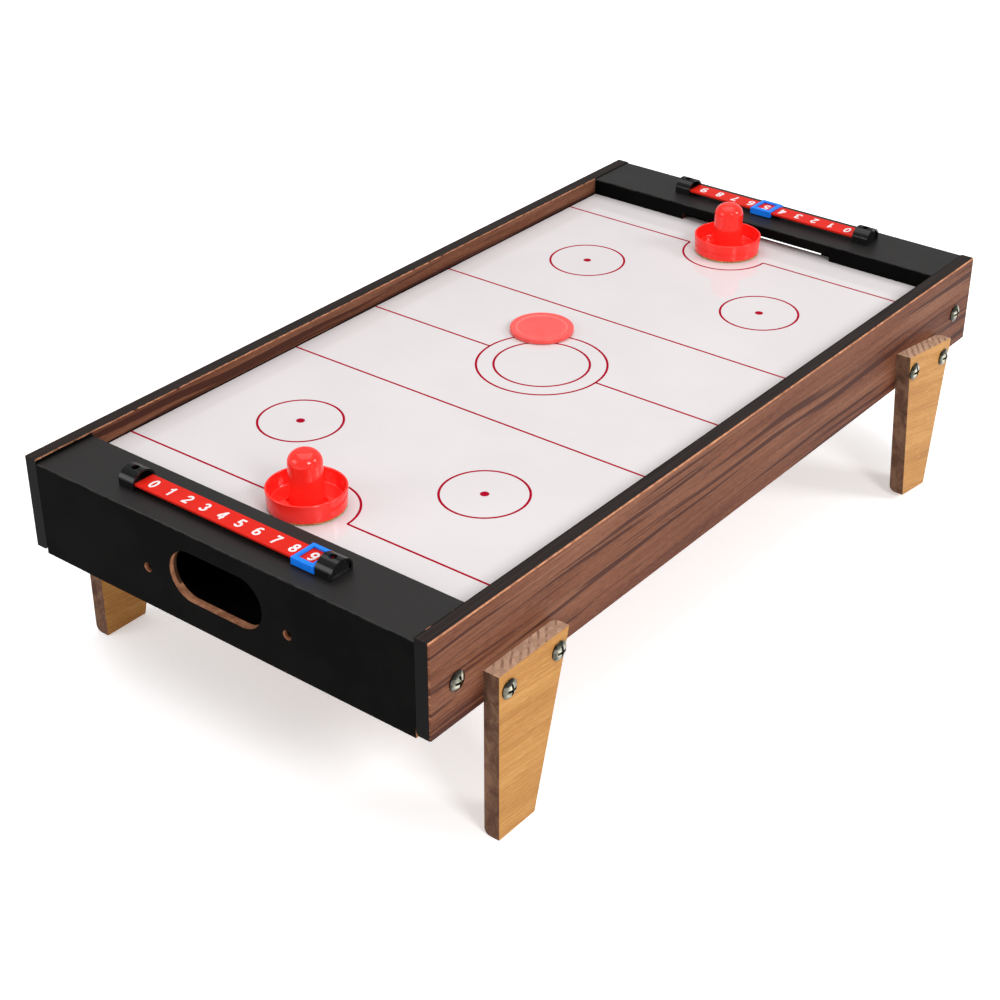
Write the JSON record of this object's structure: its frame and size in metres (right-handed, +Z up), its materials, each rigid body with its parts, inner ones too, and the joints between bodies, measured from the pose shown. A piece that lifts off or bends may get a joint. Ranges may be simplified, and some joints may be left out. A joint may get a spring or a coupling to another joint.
{
  "type": "air hockey table",
  "caption": "Low tabletop air hockey game: a framed playing field on bolted legs, with goals and puck boxes at the ends, sliding score markers, domed strikers and a flat puck.",
  "frame": {"origin": "on the floor, under the middle of the playing field", "axes": "+X across the table to the right seen from the near end, +Y along the table from the near end to the far end, +Z up"},
  "size_m": [0.3846, 0.69, 0.2027],
  "materials": {
    "walnut_laminate": "satin walnut laminate faces with charcoal edge bands",
    "black_board": "satin black laminated fibreboard, raw brown where it is cut",
    "raw_board": "bare fibreboard",
    "beech_laminate": "satin beech laminate face with bare fibreboard edges",
    "field_print": "glossy white film with thin crimson lines",
    "zinc_steel": "bright zinc plating with a yellow tint",
    "black_plastic": "semi-gloss moulded black plastic",
    "red_strip": "semi-gloss red plastic with white numbers",
    "small_screw": "bright steel",
    "blue_plastic": "glossy moulded blue plastic",
    "red_plastic": "glossy moulded red plastic",
    "felt": "dark brown felt",
    "coral_plastic": "semi-gloss moulded coral red plastic"
  },
  "bodies": {
    "table": {"left_side_rail": "walnut_laminate", "right_side_rail": "walnut_laminate", "near_end_board": "black_board", "near_end_top": "black_board", "near_goal_lip": "black_board", "near_back_board": "black_board", "near_puck_tray": "black_board", "near_left_cheek": "raw_board", "near_right_cheek": "raw_board", "near_left_leg": "beech_laminate", "near_right_leg": "beech_laminate", "near_score_strip": "red_strip", "near_left_score_cap": "black_plastic", "near_right_score_cap": "black_plastic", "near_score_screws": "small_screw", "far_end_board": "black_board", "far_end_top": "black_board", "far_goal_lip": "black_board", "far_back_board": "black_board", "far_puck_tray": "black_board", "far_left_cheek": "raw_board", "far_right_cheek": "raw_board", "far_left_leg": "beech_laminate", "far_right_leg": "beech_laminate", "far_score_strip": "red_strip", "far_left_score_cap": "black_plastic", "far_right_score_cap": "black_plastic", "far_score_screws": "small_screw", "field_board": "raw_board", "left_field_batten": "raw_board", "right_field_batten": "raw_board", "field_sheet": "field_print", "leg_bolts": "zinc_steel", "leg_nuts": "zinc_steel", "rail_bolts": "zinc_steel", "rail_nuts": "zinc_steel"},
    "near_striker": {"near_striker_cup": "red_plastic", "near_striker_felt": "felt"},
    "far_striker": {"far_striker_cup": "red_plastic", "far_striker_felt": "felt"},
    "puck": {"puck": "coral_plastic"},
    "near_slider": {"near_score_slider": "blue_plastic"},
    "far_slider": {"far_score_slider": "blue_plastic"}
  },
  "joints": [
    {"name": "near_striker_slide", "type": "slide", "parent": "table", "child": "near_striker", "axis": [1, 0, 0], "range_m": [-0.138, 0.138]},
    {"name": "far_striker_slide", "type": "slide", "parent": "table", "child": "far_striker", "axis": [1, 0, 0], "range_m": [-0.132, 0.144]},
    {"name": "puck_slide", "type": "slide", "parent": "table", "child": "puck", "axis": [0, 1, 0], "range_m": [-0.249, 0.165]},
    {"name": "near_score_slide", "type": "slide", "parent": "table", "child": "near_slider", "axis": [1, 0, 0], "range_m": [-0.1413, 0]},
    {"name": "far_score_slide", "type": "slide", "parent": "table", "child": "far_slider", "axis": [1, 0, 0], "range_m": [-0.0628, 0.0785]}
  ]
}
